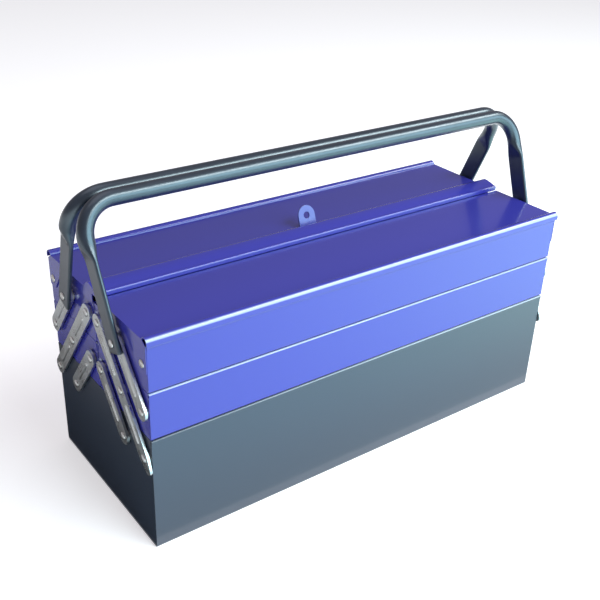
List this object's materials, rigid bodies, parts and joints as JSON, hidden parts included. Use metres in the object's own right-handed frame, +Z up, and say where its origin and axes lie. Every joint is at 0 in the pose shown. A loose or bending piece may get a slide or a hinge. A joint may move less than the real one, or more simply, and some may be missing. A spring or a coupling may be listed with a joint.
{
  "type": "cantilever tool box",
  "caption": "Sheet-metal cantilever tool box: deep base, trays that swing out on riveted links, hinged lids and folding tubular handles.",
  "frame": {"origin": "centre of the base's underside, on the surface it stands on", "axes": "+X along the box towards its right end, +Y from the front towards the rear, +Z up"},
  "size_m": [0.567, 0.217, 0.335],
  "materials": {
    "base_black": "semi-gloss charcoal enamel",
    "tray_blue": "semi-gloss violet-blue enamel",
    "link_zinc": "zinc-plated, satin",
    "rivet_steel": "zinc-plated, bright",
    "handle_black": "satin black powder coat"
  },
  "bodies": {
    "base": {"base_shell": "base_black", "base_left_end": "base_black", "base_right_end": "base_black", "base_rivets": "rivet_steel", "base_washers": "rivet_steel"},
    "front_lower_tray": {"front_lower_shell": "tray_blue", "front_lower_left_end": "tray_blue", "front_lower_right_end": "tray_blue", "front_lower_rivets": "rivet_steel", "front_lower_washers": "rivet_steel"},
    "front_upper_tray": {"front_upper_shell": "tray_blue", "front_upper_left_end": "tray_blue", "front_upper_right_end": "tray_blue", "front_upper_rivets": "rivet_steel", "front_upper_washers": "rivet_steel"},
    "front_lid": {"front_lid": "tray_blue"},
    "front_long_links": {"front_long_link_left": "link_zinc", "front_long_link_right": "link_zinc"},
    "front_short_links": {"front_short_link_left": "link_zinc", "front_short_link_right": "link_zinc"},
    "front_handle": {"front_handle": "handle_black", "front_handle_link_left": "link_zinc", "front_handle_link_right": "link_zinc"},
    "rear_lower_tray": {"rear_lower_shell": "tray_blue", "rear_lower_left_end": "tray_blue", "rear_lower_right_end": "tray_blue", "rear_lower_rivets": "rivet_steel", "rear_lower_washers": "rivet_steel"},
    "rear_upper_tray": {"rear_upper_shell": "tray_blue", "rear_upper_left_end": "tray_blue", "rear_upper_right_end": "tray_blue", "rear_upper_rivets": "rivet_steel", "rear_upper_washers": "rivet_steel", "hasp": "tray_blue"},
    "rear_lid": {"rear_lid": "tray_blue"},
    "rear_long_links": {"rear_long_link_left": "link_zinc", "rear_long_link_right": "link_zinc"},
    "rear_short_links": {"rear_short_link_left": "link_zinc", "rear_short_link_right": "link_zinc"},
    "rear_handle": {"rear_handle": "handle_black", "rear_handle_link_left": "link_zinc", "rear_handle_link_right": "link_zinc"}
  },
  "joints": [
    {"name": "front_fold", "type": "hinge", "parent": "base", "child": "front_long_links", "pos_m": [0, -0.096, 0.104], "axis": [1, 0, 0], "range_deg": [0, 77]},
    {"name": "front_short_link_pivot", "type": "hinge", "parent": "base", "child": "front_short_links", "pos_m": [0, -0.054, 0.104], "axis": [1, 0, 0], "range_deg": [0, 77]},
    {"name": "front_lower_tray_pivot", "type": "hinge", "parent": "front_long_links", "child": "front_lower_tray", "pos_m": [0, -0.054, 0.156], "axis": [1, 0, 0], "range_deg": [-77, 0]},
    {"name": "front_upper_tray_pivot", "type": "hinge", "parent": "front_long_links", "child": "front_upper_tray", "pos_m": [0, -0.012, 0.208], "axis": [1, 0, 0], "range_deg": [-77, 0]},
    {"name": "front_handle_pivot", "type": "hinge", "parent": "front_lower_tray", "child": "front_handle", "pos_m": [0, -0.096, 0.156], "axis": [1, 0, 0], "range_deg": [0, 77]},
    {"name": "front_lid_hinge", "type": "hinge", "parent": "front_upper_tray", "child": "front_lid", "pos_m": [0, -0.097, 0.207], "axis": [1, 0, 0], "range_deg": [0, 100]},
    {"name": "rear_fold", "type": "hinge", "parent": "base", "child": "rear_long_links", "pos_m": [0, 0.096, 0.104], "axis": [-1, 0, 0], "range_deg": [0, 77]},
    {"name": "rear_short_link_pivot", "type": "hinge", "parent": "base", "child": "rear_short_links", "pos_m": [0, 0.054, 0.104], "axis": [-1, 0, 0], "range_deg": [0, 77]},
    {"name": "rear_lower_tray_pivot", "type": "hinge", "parent": "rear_long_links", "child": "rear_lower_tray", "pos_m": [0, 0.054, 0.156], "axis": [-1, 0, 0], "range_deg": [-77, 0]},
    {"name": "rear_upper_tray_pivot", "type": "hinge", "parent": "rear_long_links", "child": "rear_upper_tray", "pos_m": [0, 0.012, 0.208], "axis": [-1, 0, 0], "range_deg": [-77, 0]},
    {"name": "rear_handle_pivot", "type": "hinge", "parent": "rear_lower_tray", "child": "rear_handle", "pos_m": [0, 0.096, 0.156], "axis": [-1, 0, 0], "range_deg": [0, 77]},
    {"name": "rear_lid_hinge", "type": "hinge", "parent": "rear_upper_tray", "child": "rear_lid", "pos_m": [0, 0.097, 0.207], "axis": [-1, 0, 0], "range_deg": [0, 100]}
  ],
  "couplings": [
    {"joint": "front_short_link_pivot", "follows": "front_fold", "ratio": 1},
    {"joint": "front_lower_tray_pivot", "follows": "front_fold", "ratio": -1},
    {"joint": "front_upper_tray_pivot", "follows": "front_fold", "ratio": -1},
    {"joint": "front_handle_pivot", "follows": "front_fold", "ratio": 1},
    {"joint": "rear_short_link_pivot", "follows": "rear_fold", "ratio": 1},
    {"joint": "rear_lower_tray_pivot", "follows": "rear_fold", "ratio": -1},
    {"joint": "rear_upper_tray_pivot", "follows": "rear_fold", "ratio": -1},
    {"joint": "rear_handle_pivot", "follows": "rear_fold", "ratio": 1}
  ]
}
